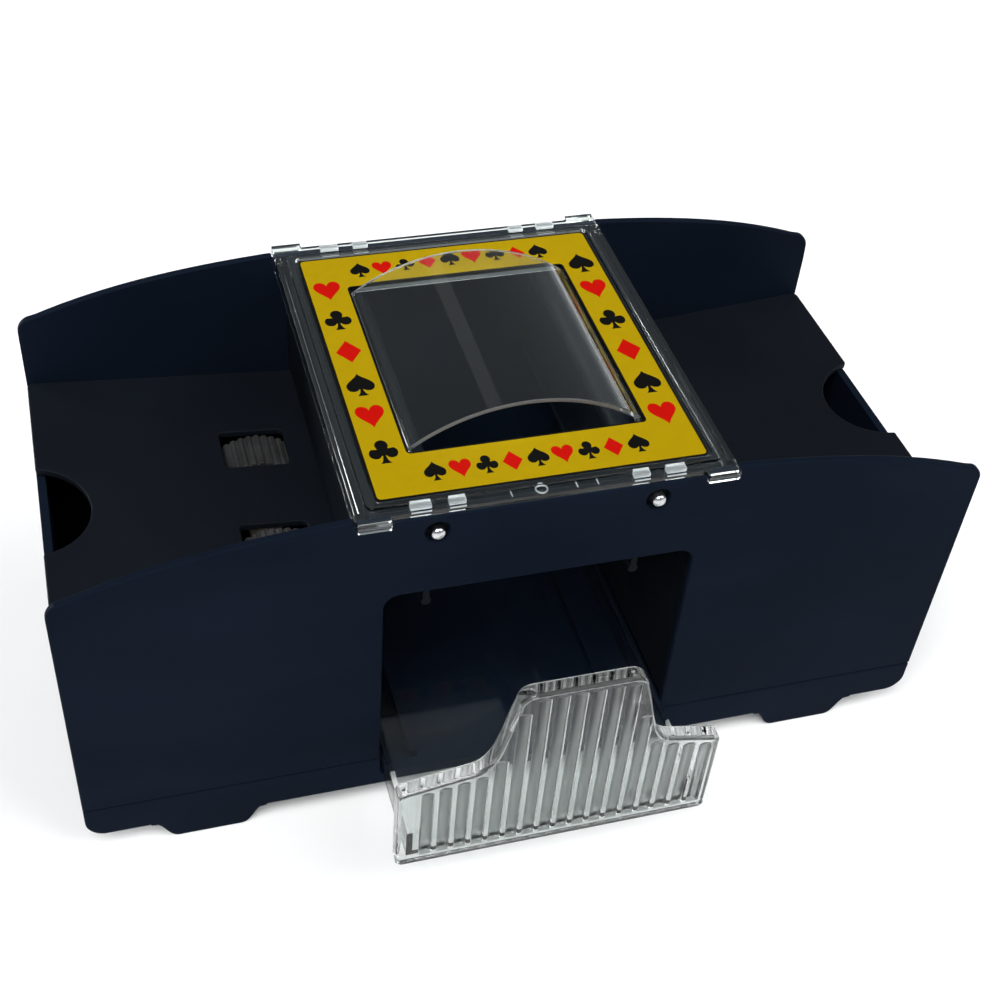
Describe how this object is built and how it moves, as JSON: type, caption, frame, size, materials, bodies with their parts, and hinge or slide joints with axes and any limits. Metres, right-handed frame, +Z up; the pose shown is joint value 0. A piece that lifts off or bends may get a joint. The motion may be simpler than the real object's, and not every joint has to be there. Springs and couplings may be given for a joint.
{
  "type": "automatic card shuffler",
  "caption": "Battery card shuffler: two sloping card trays either side of a clear-covered drop chamber, with a clear fluted drawer that comes out of the front.",
  "frame": {"origin": "on the surface that the feet stand on, under the middle of the whole length and depth with the drawer drawn out as at rest", "axes": "+X along the length to the right, -Y to the front where the drawer comes out, +Z up"},
  "size_m": [0.2, 0.1216, 0.0996],
  "materials": {
    "body": "fine satin moulded plastic, very dark blue-black",
    "inner": "plain black moulding",
    "clear": "clear moulded polystyrene, polished",
    "label_yellow": "golden yellow printed film with red and black suit signs",
    "steel": "bright ground steel",
    "bronze": "sintered bronze",
    "rubber": "ribbed black rubber",
    "hub_nylon": "white nylon",
    "gear_nylon": "natural acetal",
    "contact": "nickel-plated spring strip",
    "motor_can": "plated steel can",
    "button_red": "red moulded button",
    "lead_red": "red insulated wire"
  },
  "bodies": {
    "housing": {"housing_shell": "body", "base_pan": "body", "chamber_frame": "inner", "left_tray": "inner", "left_gate_pin": "steel", "left_idler_pin": "steel", "left_motor_can": "motor_can", "left_gear_plate": "inner", "left_bearing_plate": "inner", "left_front_bush": "bronze", "left_rear_bush": "bronze", "left_battery_box": "inner", "left_flat_contact": "contact", "left_spring_contact": "contact", "left_motor_lead": "lead_red", "left_front_screw": "steel", "left_rear_screw": "steel", "right_tray": "inner", "right_gate_pin": "steel", "right_idler_pin": "steel", "right_motor_can": "motor_can", "right_gear_plate": "inner", "right_bearing_plate": "inner", "right_front_bush": "bronze", "right_rear_bush": "bronze", "right_battery_box": "inner", "right_flat_contact": "contact", "right_spring_contact": "contact", "right_motor_lead": "lead_red", "right_front_screw": "steel", "right_rear_screw": "steel", "switch_block": "inner", "button_spring": "steel"},
    "cover": {"clear_cover": "clear", "label": "label_yellow"},
    "drawer": {"drawer": "clear"},
    "left_gate": {"left_card_gate": "inner"},
    "left_roller": {"left_roller_shaft": "steel", "left_roller_hub": "hub_nylon", "left_front_tyre": "rubber", "left_rear_tyre": "rubber", "left_roller_gear": "gear_nylon"},
    "left_idler": {"left_idler_gear": "gear_nylon"},
    "left_rotor": {"left_motor_shaft": "steel", "left_motor_pinion": "gear_nylon"},
    "left_door": {"left_battery_door": "body"},
    "right_gate": {"right_card_gate": "inner"},
    "right_roller": {"right_roller_shaft": "steel", "right_roller_hub": "hub_nylon", "right_front_tyre": "rubber", "right_rear_tyre": "rubber", "right_roller_gear": "gear_nylon"},
    "right_idler": {"right_idler_gear": "gear_nylon"},
    "right_rotor": {"right_motor_shaft": "steel", "right_motor_pinion": "gear_nylon"},
    "right_door": {"right_battery_door": "body"},
    "button": {"power_button": "button_red"}
  },
  "joints": [
    {"name": "drawer_slide", "type": "slide", "parent": "housing", "child": "drawer", "axis": [0, -1, 0], "range_m": [-0.0206, 0.05]},
    {"name": "cover_lift", "type": "slide", "parent": "housing", "child": "cover", "axis": [0, 0, 1], "range_m": [0, 0.06]},
    {"name": "left_gate_swing", "type": "hinge", "parent": "housing", "child": "left_gate", "pos_m": [-0.0233, 0.01145, 0.0846], "axis": [0, -1, 0], "range_deg": [-22, 40]},
    {"name": "left_roller_spin", "type": "hinge", "parent": "housing", "child": "left_roller", "pos_m": [-0.0505, 0.01145, 0.0446], "axis": [0, 1, 0], "continuous": true},
    {"name": "left_idler_spin", "type": "hinge", "parent": "housing", "child": "left_idler", "pos_m": [-0.06282, 0.01145, 0.0406], "axis": [0, 1, 0], "continuous": true},
    {"name": "left_rotor_spin", "type": "hinge", "parent": "housing", "child": "left_rotor", "pos_m": [-0.07342, 0.01145, 0.03317], "axis": [0, 1, 0], "continuous": true},
    {"name": "left_door_release", "type": "slide", "parent": "housing", "child": "left_door", "axis": [0, 0, -1], "range_m": [0, 0.02]},
    {"name": "right_gate_swing", "type": "hinge", "parent": "housing", "child": "right_gate", "pos_m": [0.0233, 0.01145, 0.0846], "axis": [0, 1, 0], "range_deg": [-22, 40]},
    {"name": "right_roller_spin", "type": "hinge", "parent": "housing", "child": "right_roller", "pos_m": [0.0505, 0.01145, 0.0446], "axis": [0, 1, 0], "continuous": true},
    {"name": "right_idler_spin", "type": "hinge", "parent": "housing", "child": "right_idler", "pos_m": [0.06282, 0.01145, 0.0406], "axis": [0, 1, 0], "continuous": true},
    {"name": "right_rotor_spin", "type": "hinge", "parent": "housing", "child": "right_rotor", "pos_m": [0.07342, 0.01145, 0.03317], "axis": [0, 1, 0], "continuous": true},
    {"name": "right_door_release", "type": "slide", "parent": "housing", "child": "right_door", "axis": [0, 0, -1], "range_m": [0, 0.02]},
    {"name": "button_press", "type": "slide", "parent": "housing", "child": "button", "axis": [0, -1, 0], "range_m": [0, 0.0018], "stiffness_N_per_m": 300, "springref_m": -0.001, "deforming": ["button_spring"]}
  ],
  "couplings": [
    {"joint": "left_idler_spin", "follows": "left_roller_spin", "ratio": -2.2},
    {"joint": "left_rotor_spin", "follows": "left_roller_spin", "ratio": 6.6},
    {"joint": "right_idler_spin", "follows": "right_roller_spin", "ratio": -2.2},
    {"joint": "right_rotor_spin", "follows": "right_roller_spin", "ratio": 6.6}
  ]
}
